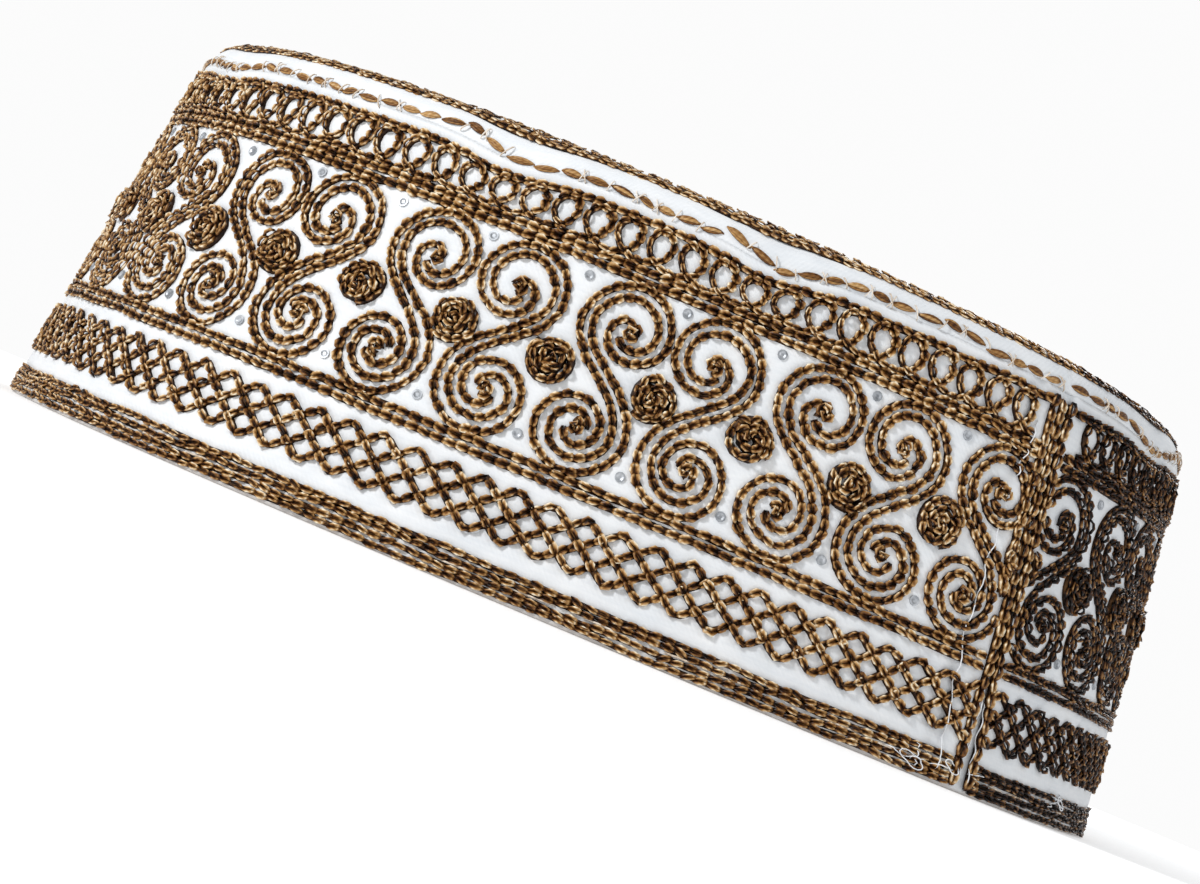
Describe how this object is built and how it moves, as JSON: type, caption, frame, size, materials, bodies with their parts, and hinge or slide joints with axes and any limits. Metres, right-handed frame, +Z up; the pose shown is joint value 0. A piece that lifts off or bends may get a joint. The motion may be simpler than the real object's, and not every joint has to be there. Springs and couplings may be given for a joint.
{
  "type": "kufi",
  "caption": "Low round brimless cap of white cloth with an upright band closed by a seam, a softly domed crown, a turned-up inner hem and brown scrolling embroidery.",
  "frame": {"origin": "middle of the footprint, on the surface that the rim rests on", "axes": "+Z up through the crown, +X along the long way of the oval, -Y towards the side of the band that faces the picture's camera"},
  "size_m": [0.1965, 0.1736, 0.0705],
  "materials": {
    "white_cloth": "white cotton satin, stiffened and closely stitched",
    "inner_cloth": "the wrong side of the embroidered cloth, mauve grey",
    "hem_cloth": "dark grey-brown hem, matted with under-thread",
    "brown_thread": "glossy rayon chain stitch, golden brown",
    "dark_thread": "very dark brown under-thread on the inside",
    "spangle_metal": "tiny dull silver spangles"
  },
  "bodies": {
    "root": {"band": "white_cloth", "crown": "white_cloth", "rim_hem": "hem_cloth"}
  },
  "joints": []
}
